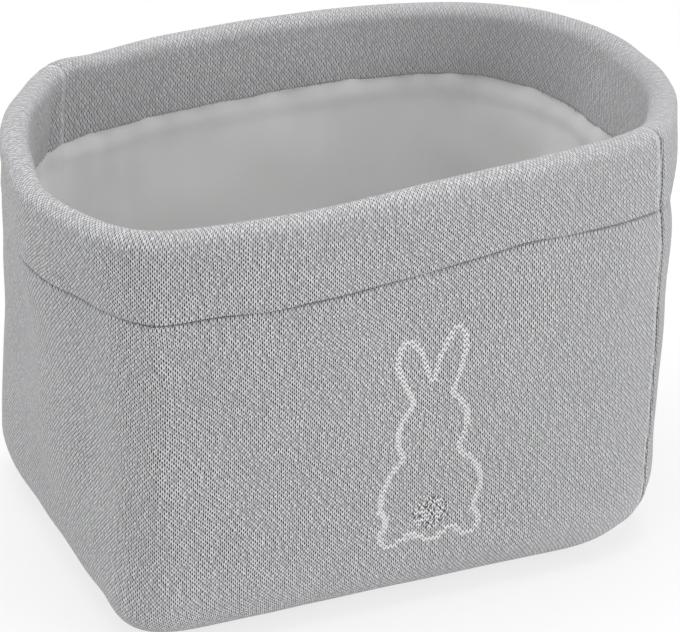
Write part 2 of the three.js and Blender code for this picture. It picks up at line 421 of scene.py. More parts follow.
def two_faced(name, outer, inner, lengths, edge=None):
    """A closed cloth from an outer and an inner grid of points, ring by ring.

    Quads join neighbouring rings on both faces, and strips close the two ends and the two sides.
    The sign of the enclosed volume says which way the faces turn, and they are turned to point out.
    """
    rings, count = outer.shape[:2]
    points = np.concatenate([outer, inner[:, ::-1]], axis=1).reshape(-1, 3)
    loop = 2 * count
    ring = np.arange(rings - 1)[:, None] * loop
    here = np.arange(loop)[None, :]
    after = (here + 1) % loop
    walls = np.stack([ring + here, ring + after, ring + loop + after, ring + loop + here], -1)
    row = np.arange(count - 1)
    first = np.stack([row, loop - 1 - row, loop - 2 - row, row + 1], -1)
    last = first[:, ::-1] + (rings - 1) * loop
    faces = np.concatenate([walls.reshape(-1, 4), first, last])
    a, b, c, d = (points[faces[:, k]] for k in range(4))
    volume = np.sum(np.cross(b - a, c - a) * a) + np.sum(np.cross(c - a, d - a) * a)
    if volume < 0:
        faces = faces[:, ::-1]
    both = np.concatenate([lengths, lengths[:, ::-1]], axis=1).reshape(-1, 2)
    mask = None if edge is None else np.concatenate([edge, edge[:, ::-1]], axis=1).ravel()
    return add_mesh(name, points, faces.tolist(), both, mask)


def stand_for(piece, node):
    """Hides the solid that a piece stands for and attaches the piece to the root body."""
    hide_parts(node)
    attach(piece, "root")
    print(piece.name, len(piece.data.polygons), "faces")
    return piece


# %% [markdown]
# ## A cloth panel round one half
#
# A panel's sides are turned in at the seams, so each side edge is rounded and drawn towards the
# inside. Two panels side by side then leave the soft groove that a sewn corner has.

# %% Panels
SEAM_TURN = 0.95  # how far the knit's edge turns in at a seam
SEAM_REACH = 1.4  # and over what distance
SOFT_SEAM = 1.0  # a seam with no turn counts as this much further off
WELT = 0.4  # the seam allowance behind lifts the cloth beside the seam
WELT_PLACE = 2.5
WELT_SPREAD = 1.5


def seam_turn(distance, share):
    """How far in the cloth lies near a seam: a quarter-round turn at its edge, less the welt."""
    t = np.clip(1 - distance / SEAM_REACH, 0, 1)
    return share * (SEAM_TURN * t * t - WELT * np.exp(-(((distance - WELT_PLACE) / WELT_SPREAD) ** 2)))


def full_turn(angle, up):
    """A seam that turns in fully everywhere."""
    return np.ones(np.broadcast(angle, up).shape)


def cloth_panel(name, half, line, thickness, extra, wale_level, swell, turn=full_turn):
    """A closed panel: the section line carried from seam to seam.

    extra(angle, length round, height, length up) gives further inset and lift, both in millimetres.
    wale_level is the height whose lengths round are used for the threads, or None for each point's.
    swell is how far the cloth swells and sinks unevenly, in millimetres.
    turn(angle, length up) is the share of the full turn at the seams. The edge mask is the distance
    from the seam, and it is negative on the back right half.
    """
    angles, distance = panel_angles(half)
    outer, inner, up = section_faces(line, thickness)
    share = turn(angles[:, None], up[None, :])
    side = 1 - share * (1 - rounding(distance, thickness / 2)[:, None])
    level = line[None, :, 1]
    angle = leaned(angles[:, None], level)
    thread_level = level if wale_level is None else wale_level
    start = math.radians(HALF_CORNERS[half])
    length = length_round(angle, thread_level) - length_round(start, thread_level)
    more_in, more_up = extra(angle, length, level, up[None, :])
    more_in = more_in + swell * swelling(length_round(angle, SWELL_LEVEL), level)
    turned = seam_turn(distance[:, None], share)
    normal = inward(line)
    faces = []
    for face in (outer, inner):
        section = line[None] + (face - line)[None] * side[..., None] + turned[..., None] * normal[None]
        faces.append(raw_point(angle, section[..., 0] + more_in, section[..., 1] + more_up))
    lengths = np.stack([length + CORNER_LENGTH, np.broadcast_to(up[None, :], length.shape)], -1)
    edge = (1 - 2 * half) * (distance[:, None] + SOFT_SEAM * (1 - share))
    return two_faced(name, faces[0], faces[1], lengths, edge)


# %% [markdown]
# ## The wall's outer knit
#
# The wall knit starts under the base, curls up over the edge, climbs the wall, goes behind the
# cuff, and comes down again inside it to the cuff's edge seam. Where it goes behind the cuff the
# padding is pressed flatter, so the wall draws in there.

# %% The wall's section
def press(height):
    """How far the wall is pressed in to go behind the cuff, from 0 to 1."""
    return smooth(CUFF_HEIGHT - PRESS_LENGTH, CUFF_HEIGHT - PRESS_END, height)


def wall_face(height):
    """Inset of the wall's outer face: a slight hollow, and then the two cloths of the cuff."""
    share = np.clip((height - EDGE_RADIUS) / (CUFF_HEIGHT - EDGE_RADIUS), 0, 1)
    free = CUFF_STAND_OUT * np.sin(share * math.pi / 2) + WALL_HOLLOW * np.sin(share * math.pi)
    return mix(free, CUFF_STACK, press(height))


def padding_inner(height):
    """Depth of the padding's inner face behind the wall's outer face."""
    return KNIT + CLEARANCE + mix(PADDING, PRESSED_PADDING, press(height))


def wall_line(depth, top):
    """A layer's section at a depth behind the outer face: round the curl of the foot, and up."""
    low = float(depth(np.array(0.0)))
    curl = arc((EDGE_RADIUS, FOOT_RING), EDGE_RADIUS - low, 270, 180, 1.0)
    heights = np.linspace(FOOT_RING, top, 160)[1:]
    wall = np.stack([wall_face(heights) + depth(heights), heights], -1)
    return np.concatenate([curl, wall])


FREE_DRAW_IN = 0.6  # how far the visible wall draws in from its foot to the cuff


def free_face(height):
    """Inset of the visible wall's face: it draws in towards the cuff and is hollow midway."""
    share = np.clip((height - EDGE_RADIUS) / (CUFF_HEIGHT - EDGE_RADIUS), 0, 1)
    return FREE_DRAW_IN * np.sin(share * math.pi / 2) + WALL_HOLLOW * np.sin(share * math.pi)


# The cuff's edge is a fold round this centre, and the wall knit goes in close under it.
EDGE_FOLD = (1.45, CUFF_HEIGHT + 0.8)
EDGE_FOLD_RADIUS = 0.8
TUCK_RADIUS = 2.25
TUCK_TURN = (-105, -4)
TUCK_START = 3.4  # the free wall ends this far under the cuff's edge
BEHIND_CUFF = 4  # and the straight run behind the cuff starts this far over it
RETURN_END = 2.4
SHELL_STEP = 1.3
top_fold = ((KNIT + CLEARANCE + CUFF_STACK + KNIT) / 2, ROLL_CENTRE)
top_fold_radius = CUFF_STACK + KNIT / 2 - top_fold[0]
return_inset = top_fold[0] - top_fold_radius

curl = arc((EDGE_RADIUS, FOOT_RING), EDGE_RADIUS - KNIT / 2, 270, 180, 1.0)
wall_heights = np.linspace(FOOT_RING, CUFF_HEIGHT - TUCK_START, 150)[1:]
shell_line = np.concatenate([
    [[EDGE_RADIUS + SEAM_LAP, FLOOR_LIFT + KNIT / 2]],
    curl,
    np.stack([free_face(wall_heights) + KNIT / 2, wall_heights], -1),
    arc(EDGE_FOLD, TUCK_RADIUS, *TUCK_TURN, 0.3),
    [[CUFF_STACK + KNIT / 2, CUFF_HEIGHT + BEHIND_CUFF], [CUFF_STACK + KNIT / 2, ROLL_CENTRE - 1]],
    arc(top_fold, top_fold_radius, 0, 180),
    [[return_inset, CUFF_HEIGHT + RETURN_END]],
])
shell_line = resample(shell_line, SHELL_STEP)
print("the wall knit is", round(running_length(shell_line)[-1], 1), "mm long from edge to edge")

# %% Make the wall knit
# Each part of the fold is (angle, spread, out).
CORNER_FOLD = ((135.2, 4.5, 1.0), (135.0, 1.3, 0.8), (141.0, 3.5, -0.6))


def corner_fold(angle):
    """How far the inside cloths stand out into the padding at the rear left corner, in millimetres.

    A broad hollow with a sharp fold in it, and a swelling beside it: each is a bell.
    """
    return sum(out * bell(angle, centre, spread) for centre, spread, out in CORNER_FOLD)


# The ridge stands at an angle and the hollow lies some degrees beside it, on the left wall's side.
RIDGE_ANGLE = 228.0
RIDGE = 0.8
RIDGE_TIP = 0.4
RIDGE_FALL = 2.2
HOLLOW = 0.5
HOLLOW_AWAY = 4.2
HOLLOW_SPREAD = 2.4
RIDGE_START = (10, 60)  # heights between which both grow from nothing


def wall_extra(angle, length, height, up):
    """A soft upright ridge by the front left corner and a shallow hollow beside it.

    The ridge is exp(-(sqrt(away^2 + tip^2) - tip) / fall) with away in degrees, a point with a
    rounded tip, and the hollow is a bell. Both fade out towards the foot.
    """
    away = np.degrees(np.asarray(angle)) - RIDGE_ANGLE
    ridge = np.exp(-(np.hypot(away, RIDGE_TIP) - RIDGE_TIP) / RIDGE_FALL)
    hollow = np.exp(-(((away + HOLLOW_AWAY) / HOLLOW_SPREAD) ** 2))
    return (HOLLOW * hollow - RIDGE * ridge) * smooth(*RIDGE_START, height), 0.0


SWELL = 0.28
wall_knits = []
for half, side in enumerate(HALVES):
    piece = cloth_panel(f"wall_knit_{side}", half, shell_line, KNIT, wall_extra, None, SWELL)
    wall_knits.append(stand_for(piece, f"outer_{side}"))

# %% [markdown]
# ## The cuff and its rolled rim
#
# The facing is one strip of knit. It starts in a tight fold at the cuff's lower edge, climbs the
# cuff, rolls over the rim and comes down inside to its hem, over the top of the lining.

# %% The cuff's section
CUFF_STEP = 0.9

cuff_line = np.concatenate([
    [[EDGE_FOLD[0] + EDGE_FOLD_RADIUS, EDGE_FOLD[1] + 0.6]],
    arc(EDGE_FOLD, EDGE_FOLD_RADIUS, 0, -180, 0.2),
    [[KNIT / 2, ROLL_CENTRE - 12.0]],
    arc((ROLL_RADIUS, ROLL_CENTRE), ROLL_RADIUS - KNIT / 2, 180, 0, 0.5),
])
hem_seat = PADDING_INNER + CLEARANCE + LINING + CLEARANCE
inside_line = np.array([[hem_seat + KNIT / 2, LINING_TOP + 1], [hem_seat + KNIT / 2, FACING_HEIGHT]])
cuff_line = resample(np.concatenate([cuff_line, inside_line]), CUFF_STEP)
print("the facing strip is", round(running_length(cuff_line)[-1], 1), "mm wide")

# %% Make the cuff
# The spans are lengths up the strip, from the cuff's edge, between which something sets in.
HEM_SAG = 1.6
CORNER_SAG = 2.6
SAG_SPAN = (56, 75)
FOLD_SPAN = (50, 62)
REAR_FLAT_SPAN = (42, 50)
FLAT_SPAN = (32, 40)
FLAT_SHARE = 0.9
CUFF_SWELL = 0.22
CUFF_LEVEL = 170.0  # the cuff's threads are laid out by the girth at this height


def cuff_extra(angle, length, height, up):
    """A slight wander of the folded edge and of the hem, and a crease at the rear left inside.

    The wander is the sum of two sines along the edge. The hem sags, and most at the corner.
    """
    share = np.clip((RIM_HEIGHT - height) / CUFF_DEPTH, 0, 1)
    wander = 0.3 * np.sin(length / 11.0) + 0.2 * np.sin(length / 5.3 + 1.0)
    sag = HEM_SAG + CORNER_SAG * bell(angle, 134.0, 5.5)
    lift = wander * share**1.5 - sag * smooth(*SAG_SPAN, up)
    return -smooth(*FOLD_SPAN, up) * corner_fold(angle), lift


def cuff_turn(angle, up):
    """The seams lie flat over the rim and inside: their turn fades out as the cuff rolls over."""
    rear = smooth(*REAR_FLAT_SPAN, up) * bell(angle, SEAMS[0], 14.0)
    flat = np.maximum(rear, smooth(*FLAT_SPAN, up) * FLAT_SHARE)
    return 1 - flat * np.ones_like(angle)


cuffs = []
for half, side in enumerate(HALVES):
    shape = (cuff_line, KNIT, cuff_extra, CUFF_LEVEL, CUFF_SWELL, cuff_turn)
    piece = cloth_panel(f"cuff_{side}", half, *shape)
    cuffs.append(stand_for(piece, f"facing_{side}"))

# %% [markdown]
# ## Lining
#
# The lining is thin plain cloth, cut a little full, so it puckers softly below the facing's hem
# and in the corners. The puckers go towards the inside, away from the padding. Only the fold in
# the rear left corner goes the other way, and the padding makes room for it.

# %% The lining's walls
def lining_depth(height):
    """The middle of the lining, behind the padding."""
    return padding_inner(height) + CLEARANCE + LINING / 2


PUCKER = 0.55  # millimetres for a wave's height of one
PUCKER_FADE = 34
SLACK_SPREAD = 14.0
FOLD_START = 110  # the corner's fold grows from this height to the hem
LINING_SWELL = 0.25
LINING_SEAM_TURN = 0.12
LINING_STEP = 1.6


def lining_extra(angle, length, height, up):
    """Puckers: waves along the hem that fade out downwards, and slack folds in the corners.

    Both are sums of sines that go a whole number of times round. The first falls off below the
    hem as exp(-distance / fade), and the second is three times as strong in the corners.
    """
    fade = np.exp(-np.clip(FACING_HEIGHT - height, 0, None) / PUCKER_FADE)
    below = smooth(LINING_TOP, FACING_HEIGHT - 4, height) * fade
    turn = length_round(angle, SWELL_LEVEL) * 2 * math.pi / GIRTH
    tucks = np.sin(43 * turn + 1.3 * np.sin(6 * turn)) + 0.6 * np.sin(17 * turn)
    slack = np.sum([bell(angle, corner, SLACK_SPREAD) for corner in CORNERS], axis=0)
    lean = np.sin(height / 13.0 + 7 * turn) + 0.5 * np.sin(height / 7.0 - 12 * turn)
    body = smooth(30, 60, height) * (1 - smooth(FACING_HEIGHT - 12, FACING_HEIGHT, height))
    folded = smooth(FOLD_START, FACING_HEIGHT, height) * corner_fold(angle)
    return PUCKER * below * (1.6 + tucks) + body * (0.5 + slack) * PUCKER * (1.5 + lean) - folded, 0.0


def lining_turn(angle, up):
    """The lining's seams lie nearly flat."""
    return np.full(np.broadcast(angle, up).shape, LINING_SEAM_TURN)


lining_line = resample(wall_line(lining_depth, LINING_TOP), LINING_STEP)
linings = []
for half, side in enumerate(HALVES):
    shape = (lining_line, LINING, lining_extra, None, LINING_SWELL, lining_turn)
    piece = cloth_panel(f"wall_lining_{side}", half, *shape)
    linings.append(stand_for(piece, f"lining_{side}"))

# %% [markdown]
# ## Flat panels of the base
#
# The knit base, the padding and the base lining all have the foot's outline. A disc grid carries
# the outline inwards in rings: each ring is the outline times its share of the way out.

# %% Base panels
def disc(name, inset, bottom, top, puff, rounded, step=2.2):
    """A flat closed panel with the foot's outline between two heights.

    Rings shrink evenly to a cone of triangles in the middle. Near the edge the thickness follows a
    quarter circle, and puff lifts the top by puff times (1 - share^6), so that the panel is drawn
    down at its seam.
    """
    angles = np.linspace(0, 2 * math.pi, 361)[:-1]
    outline = raw_point(angles, inset, bottom)
    reach = np.linalg.norm(outline[:, :2], axis=1).mean()
    inside = np.linspace(0.02, 1 - 3 * rounded / reach, int(reach / step))
    shares = np.concatenate([inside, 1 - rounded / reach * np.linspace(2.5, 0, 11)])
    flat = outline[None, :, :2] * shares[:, None, None]
    thick = rounding((1 - shares) * reach, rounded)
    centre = (bottom + top) / 2
    half = (top - bottom) / 2 * thick
    lift = puff * (1 - shares**6)
    uneven = puff * 0.35 * swelling(flat[..., 0] * 2, flat[..., 1])
    high = (centre + half + lift)[:, None] + uneven * (1 - shares**4)[:, None]
    low = np.broadcast_to((centre - half)[:, None], high.shape)
    upper = np.concatenate([flat, high[..., None]], -1)
    lower = np.concatenate([flat, low[..., None]], -1)
    rings, count = flat.shape[:2]
    points = np.concatenate([upper.reshape(-1, 3), lower.reshape(-1, 3)])
    middle = np.array([[0, 0, high[0].mean()], [0, 0, low[0].mean()]])
    points = np.concatenate([points, middle])
    ring = np.arange(rings - 1)[:, None] * count
    here = np.arange(count)[None, :]
    after = (here + 1) % count
    top_quads = np.stack([ring + here, ring + count + here, ring + count + after, ring + after], -1)
    top_quads = top_quads.reshape(-1, 4)
    bottom_quads = top_quads[:, ::-1] + rings * count
    rim = (rings - 1) * count
    here = np.arange(count)
    after = (here + 1) % count
    below = rings * count
    side = np.stack([rim + here, rim + here + below, rim + after + below, rim + after], -1)
    quads = np.concatenate([top_quads, bottom_quads, side]).tolist()
    top_middle = 2 * rings * count
    cone = np.stack([np.full(count, top_middle), here, after], -1).tolist()
    under = np.stack([np.full(count, top_middle + 1), after + below, here + below], -1).tolist()
    return add_mesh(name, points, quads + cone + under, points[:, :2] + CORNER_LENGTH)


pad_low, pad_high = (np.array(corner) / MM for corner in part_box("base_padding"))
cloth_low, cloth_high = (np.array(corner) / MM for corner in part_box("lining_base"))

knit_base = disc("knit_base", BASE_INSET + SEAM_LAP, 0.0, KNIT, 0.0, KNIT / 2)
base_wadding = disc("wadding_base", BASE_INSET, pad_low[2], pad_high[2] - 0.2, 0.1, 1.6)
floor_lining = disc("floor_lining", BASE_INSET - 1.2, cloth_low[2], cloth_high[2], 0.9, LINING / 2)
for piece, node, slot in (
    (knit_base, "outer_base", "knit"),
    (base_wadding, "base_padding", "padding"),
    (floor_lining, "lining_base", "lining"),
):
    stand_for(piece, node)

# %% [markdown]
# ## Wadding in the walls
#
# The wadding is hidden, but it is a piece of the basket all the same. It is a thick soft strip
# between the knit and the lining, thinner behind the cuff and rounded into the rim's roll.

# %% The wall wadding
def wadding_depth(height):
    """The middle of the wadding."""
    return (KNIT + CLEARANCE + padding_inner(height)) / 2


WADDING_PLAY = 0.5
WADDING_ROUNDING = 3.0
WADDING_STEP = 2.0
WADDING_RING_STEP = 2.6


def wall_wadding(name, half):
    """A closed strip whose thickness is the room between the knit and the lining, less a little.

    Its inner face goes in where the lining's corner fold stands out, and its outer face where the
    wall knit is hollow.
    """
    line = resample(wall_line(wadding_depth, ROLL_CENTRE + 1.0), WADDING_STEP)
    angles, distance = panel_angles(half, WADDING_RING_STEP)
    length = running_length(line)
    thick = (padding_inner(line[:, 1]) - KNIT - CLEARANCE - WADDING_PLAY) / 2
    thick = thick * rounding(np.minimum(length, length[-1] - length), WADDING_ROUNDING)
    across = inward(line)[None] * thick[None, :, None]
    side = rounding(distance, WADDING_ROUNDING)[:, None, None]
    angle = angles[:, None]
    faces = []
    for sign in (-1, 1):
        section = line[None] + sign * across * side
        inner = section[..., 0] > line[None, :, 0]
        depth = smooth(FOLD_START, FACING_HEIGHT, section[..., 1])
        folded = inner * depth * np.maximum(corner_fold(angle), 0)
        hollow = ~inner * np.maximum(wall_extra(angle, None, section[..., 1], None)[0], 0)
        faces.append(raw_point(angle, section[..., 0] - folded + hollow, section[..., 1]))
    round_length = length_round(angle, line[None, :, 1])
    from_start = round_length - round_length.min() + 10
    lengths = np.stack([from_start, np.broadcast_to(length, round_length.shape)], -1)
    return two_faced(name, faces[0], faces[1], lengths)


waddings = []
for half, side in enumerate(HALVES):
    piece = wall_wadding(f"wadding_{side}", half)
    waddings.append(stand_for(piece, f"padding_{side}"))

# %% [markdown]
# ## Yarn on the surface
#
# The motif is worked over the finished knit in white yarn. Each stitch of the knit that the motif
# covers gets two slanting legs of yarn, as in duplicate stitching, so the legs have to lie exactly
# between the knit's pits. The same thread map that the knit's finish uses gives their places.

# %% Where the knit's pits lie
COLUMN = 0.88  # from one column of pits to the next
STITCH = 1.98  # from one pit to the next in its column


def thread_drift(round_mm, up_mm):
    """How far the columns and rows wander from straight: a few long sine waves."""
    sine = np.sin if isinstance(round_mm, np.ndarray) else (lambda value: value.math("SINE"))
    first = sine(round_mm * 0.11 + up_mm * 0.05)
    second = sine(round_mm * 0.043 - up_mm * 0.13 + 1.7)
    third = sine(up_mm * 0.31 + round_mm * 0.19 + 0.6)
    return first * 0.35 + third * 0.12, second * 0.45 + third * 0.12


def lattice_place(p, q):
    """Lengths round and up for places in columns p and half stitches q.

    The drift depends on the lengths themselves, so a guess is put right eight times over.
    """
    round_mm = p * COLUMN
    up_mm = q * STITCH / 2
    for _ in range(8):
        lean_round, lean_up = thread_drift(round_mm, up_mm)
        round_mm = p * COLUMN - lean_round
        up_mm = q * STITCH / 2 - lean_up
    return round_mm, up_mm


SHELL_LENGTH = running_length(shell_line)
RETURN_START = 170  # further up the knit than this, it is in the tuck or behind the cuff
ON_WALL = (shell_line[:, 1] < CUFF_HEIGHT - 3) & (SHELL_LENGTH < RETURN_START)


def height_up(up_mm):
    """The wall's height at a length up the wall knit."""
    return np.interp(up_mm, SHELL_LENGTH[ON_WALL], shell_line[ON_WALL, 1])


def length_up(height):
    """The length up the wall knit at a height of the wall."""
    return np.interp(height, shell_line[ON_WALL, 1], SHELL_LENGTH[ON_WALL])


def angle_round(round_mm, height):
    """The angle at a length round from the front left corner.

    A guess is corrected twelve times by the length that it misses over the slope there.
    """
    start = math.radians(HALF_CORNERS[0])
    angle = start + round_mm * 2 * math.pi / GIRTH
    for _ in range(12):
        miss = round_mm - (length_round(angle, height) - length_round(start, height))
        slope = (length_round(angle + 0.01, height) - length_round(angle - 0.01, height)) / 0.02
        angle = angle + miss / slope
    return angle


def wall_skin(angle, height, out=0.0):
    """A point of the wall's outer face, moved out from it by some millimetres."""
    inset = free_face(height) + SWELL * swelling(length_round(angle, SWELL_LEVEL), height)
    return raw_point(angle, inset + wall_extra(angle, None, height, None)[0] - out, height)


# %% Little lengths of yarn
def capsule_mesh(sides=6, rings=5):
    """A unit length of yarn along X: rings whose size is (1 - x^2)^0.3, closed by a point each end."""
    x = np.linspace(-0.85, 0.85, rings)
    size = (1 - x * x) ** 0.3
    turn = np.arange(sides) * 2 * math.pi / sides
    wide = size[:, None] * np.cos(turn)
    thick = size[:, None] * np.sin(turn)
    ring = np.stack(np.broadcast_arrays(x[:, None], wide, thick), -1)
    points = np.concatenate([ring.reshape(-1, 3), [[-1, 0, 0], [1, 0, 0]]])
    row = np.arange(rings - 1)[:, None] * sides
    here = np.arange(sides)[None, :]
    after = (here + 1) % sides
    quads = np.stack([row + here, row + sides + here, row + sides + after, row + after], -1)
    ends = len(points) - 2
    here = here[0]
    after = after[0]
    start = np.stack([np.full(sides, ends), here, after], -1)
    last = (rings - 1) * sides
    finish = np.stack([np.full(sides, ends + 1), last + after, last + here], -1)
    return points, quads.reshape(-1, 4), np.concatenate([start, finish])


def yarn(name, centres, along, across, half_sizes):
    """One piece of many lengths of yarn: each has a middle, a direction, a sideways hint and sizes.

    half_sizes are the half length, half width and half thickness, in millimetres.
    """
    points, quads, triangles = capsule_mesh()
    x_axis = unit(along)
    z_axis = unit(np.cross(x_axis, across))
    y_axis = np.cross(z_axis, x_axis)
    sizes = np.broadcast_to(np.asarray(half_sizes, float), (len(centres), 3))
    place = centres[:, None, :] + sum(
        points[None, :, k, None] * (axis * sizes[:, k, None])[:, None, :]
        for k, axis in enumerate((x_axis, y_axis, z_axis))
    )
    offset = np.arange(len(centres))[:, None, None] * len(points)
    all_quads = (quads[None] + offset).reshape(-1, 4).tolist()
    all_triangles = (triangles[None] + offset).reshape(-1, 3).tolist()
    lengths = np.tile(points[:, :2], (len(centres), 1))
    piece = add_mesh(name, place.reshape(-1, 3), all_quads + all_triangles, lengths)
    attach(piece, "root")
    return piece


# %% [markdown]
# ## The motif
#
# A plain rabbit seen from behind, as on many nursery things. Forty-two points give the outline in
# millimetres from the front left corner and up from the floor. A smooth closed curve runs through
# them, and every stitch leg whose middle is close to the curve is worked in white.

# %% The motif's outline
OUTLINE = (
    (125.5, 105.5), (128.5, 113.4), (132.5, 121.4), (136.7, 126.0), (140.2, 123.2), (140.5, 116.6),
    (138.2, 108.0), (135.2, 99.0), (139.0, 94.0), (142.3, 88.0), (141.5, 79.5), (139.3, 72.0),
    (145.5, 65.5), (149.6, 56.5), (148.4, 48.0), (146.4, 42.5), (149.2, 37.5), (146.8, 31.8),
    (141.6, 31.2), (136.5, 35.3), (131.0, 32.4), (125.8, 31.7), (119.5, 34.6), (113.8, 34.2),
    (109.6, 31.6), (105.3, 33.2), (104.3, 38.2), (106.8, 42.6), (104.0, 49.5), (105.2, 58.5),
    (109.4, 66.5), (113.8, 72.5), (111.2, 79.0), (111.6, 87.0), (114.8, 92.6), (117.2, 97.0),
    (113.4, 105.5), (110.4, 113.5), (110.6, 121.0), (114.2, 124.6), (118.6, 121.8), (122.4, 114.0),
)
TAIL = (127.2, 44.3)
TAIL_HALF = (8.2, 7.6)
BAND = 1.2


def smooth_loop(points, count=24):
    """A closed curve through the points: a cubic between each pair.

    Its slope at a point is half of the way from the point before to the point after.
    """
    points = np.asarray(points, float)
    before, here, after, beyond = (np.roll(points, k, axis=0)[:, None] for k in (1, 0, -1, -2))
    t = (np.arange(count) / count)[None, :, None]
    cubic = (3 * (here - after) + beyond - before) * t**3
    square = (2 * before - 5 * here + 4 * after - beyond) * t**2
    return (0.5 * (cubic + square + (after - before) * t + 2 * here)).reshape(-1, 2)


# %% The legs of the stitches
def stitch_legs():
    """Middles of all legs near the motif: half way between columns, every second half stitch.

    Gives the places in columns and half stitches, and the way that each leg leans: up to the left
    in even columns and up to the right in odd ones.
    """
    columns = np.arange(int((CORNER_LENGTH + 95) / COLUMN), int((CORNER_LENGTH + 158) / COLUMN))
    rows = np.arange(int(length_up(24.0) / STITCH), int(length_up(134.0) / STITCH))
    column, row = (grid.ravel() for grid in np.meshgrid(columns, rows))
    return column + 0.5, 2.0 * row + 0.5, np.where(column % 2 == 0, -1.0, 1.0)


def wall_place(p, q):
    """Length round from the corner and height, for places in columns and half stitches."""
    round_mm, up_mm = lattice_place(p, q)
    return round_mm - CORNER_LENGTH, height_up(up_mm)


def on_wall(p, q, out):
    """Points some way out of the wall's face, for places in columns and half stitches."""
    round_mm, height = wall_place(p, q)
    return wall_skin(angle_round(round_mm, height), height, out)


p, q, lean = stitch_legs()
loop = smooth_loop(OUTLINE)
place = np.stack(wall_place(p, q), -1)
away = np.sqrt(((place[:, None] - loop[None]) ** 2).sum(-1).min(1))
rng = np.random.default_rng(4)
worked = away < BAND + rng.uniform(-0.2, 0.2, len(p))
reach = (place - TAIL) / TAIL_HALF
in_tail = (reach**2).sum(1) < 1 + rng.uniform(-0.15, 0.1, len(p))
checked = (np.floor(p).astype(int) + np.floor(q).astype(int)) % 3 == 0
dark = checked ^ (rng.random(len(p)) < 0.14)


LEG_LEAN = 0.36  # a leg's ends lie this many columns to each side of its middle
LEG_RISE = 0.8  # and this many half stitches under and over it


def leg_piece(name, chosen, half_sizes, out, ragged=0.0):
    """The chosen legs as yarn, each along the line from its lower to its upper end.

    ragged is how far, in columns, an end may slip sideways.
    """
    slip = rng.uniform(-ragged, ragged, (2, chosen.sum()))
    sideways = LEG_LEAN * lean[chosen]
    low = on_wall(p[chosen] - sideways + slip[0], q[chosen] - LEG_RISE, out)
    high = on_wall(p[chosen] + sideways + slip[1], q[chosen] + LEG_RISE, out)
    deeper = on_wall(p[chosen], q[chosen], out - 1)
    outward = (low + high) / 2 - deeper
    piece = yarn(name, (low + high) / 2, high - low, np.cross(outward, high - low), half_sizes)
    print(piece.name, int(chosen.sum()), "legs")
    return piece


outline_yarn = leg_piece("motif_outline", worked & ~in_tail, (1.28, 0.46, 0.22), 0.08)
tail_white = leg_piece("motif_tail_white", in_tail & ~dark, (0.8, 0.33, 0.3), 0.12, 0.25)
tail_dark = leg_piece("motif_tail_dark", in_tail & dark, (0.55, 0.26, 0.24), 0.12, 0.25)

# %% [markdown]
# ## Sewing thread
#
# The corner seams are sewn with a ladder stitch, which shows as short bars deep in the groove.
# Slip stitches hold the hem inside, and whipped stitches join the wall knit to the base panel.

# %% Thread along a section
SEAM_PITCH = 2.4
SEAM_DEPTH = 0.9
SEAM_BAR = (0.6, 0.2, 0.2)


def seam_bars(name, line, seam, start, end):
    """Short bars across a corner seam: evenly spaced along the section, some way in from it."""
    length = running_length(line)
    places = np.arange(start, end, SEAM_PITCH)
    normal = inward(line)
    inset = np.interp(places, length, line[:, 0] + normal[:, 0] * SEAM_DEPTH)
    height = np.interp(places, length, line[:, 1] + normal[:, 1] * SEAM_DEPTH)
    angle = leaned(np.full(len(places), math.radians(SEAMS[seam])), height)
    centres = raw_point(angle, inset, height)
    along = raw_point(angle + 0.004, inset, height) - raw_point(angle - 0.004, inset, height)
    up = np.gradient(centres, axis=0)
    piece = yarn(name, centres, along, up, SEAM_BAR)
    return piece


SHELL_TUCK = length_up(CUFF_HEIGHT - 3.5)
seam_threads = []
for seam, corner in enumerate(("rear_left", "front_right")):
    wall_bars = seam_bars(f"wall_seam_thread_{corner}", shell_line, seam, 3.0, SHELL_TUCK)
    cuff_end = running_length(cuff_line)[-1] - 1
    cuff_bars = seam_bars(f"cuff_seam_thread_{corner}", cuff_line, seam, 3.5, cuff_end)
    seam_threads += [wall_bars, cuff_bars]
    print(wall_bars.name, "and", cuff_bars.name)

# %% Thread round the hem and the base
def even_angles(pitch):
    """Angles all round that lie a pitch of cloth apart."""
    count = int(GIRTH / pitch)
    return np.interp((np.arange(count) + 0.5) * GIRTH / count, girths[4], FINE)


def ring_bars(name, angle, inset, height, direction, half_sizes, slant):
    """Bars all round: middles at an inset and height, a direction in the section, and a slant.

    The direction is an inset and a height, and the slant is how far round a bar goes meanwhile.
    """
    centres = raw_point(angle, inset, height)
    inset_step, height_step = direction
    along = raw_point(angle + slant, inset + inset_step, height + height_step) - centres
    across = raw_point(angle + 0.01, inset, height) - centres
    piece = yarn(name, centres, along, across, half_sizes)
    print(piece.name, len(angle), "stitches")
    return piece


around = even_angles(6.5)
hem_in, hem_up = cuff_extra(around, around * 0, FACING_HEIGHT, running_length(cuff_line)[-1])
hem_in = hem_in + CUFF_SWELL * swelling(length_round(around, SWELL_LEVEL), FACING_HEIGHT)
hem_inset = hem_seat + KNIT * 0.75 + hem_in
hem_height = FACING_HEIGHT + 0.4 + hem_up
hem_bar = (1.1, 0.16, 0.22)
hem_thread = ring_bars("hem_thread", around, hem_inset, hem_height, (0.0, 1.0), hem_bar, 0.002)
base_inset = BASE_INSET + SEAM_LAP - 0.3
base_bar = (2.1, 0.28, 0.26)
base_thread = ring_bars(
    "base_seam_thread", even_angles(3.6), base_inset, 0.36, (1.0, 0.0), base_bar, 0.004
)

# %% [markdown]
# ## Shader maths
#
# A finish is easier to read as arithmetic than as a list of nodes. The class below wraps one
# socket. Adding or multiplying two of them adds the Math node that does so.

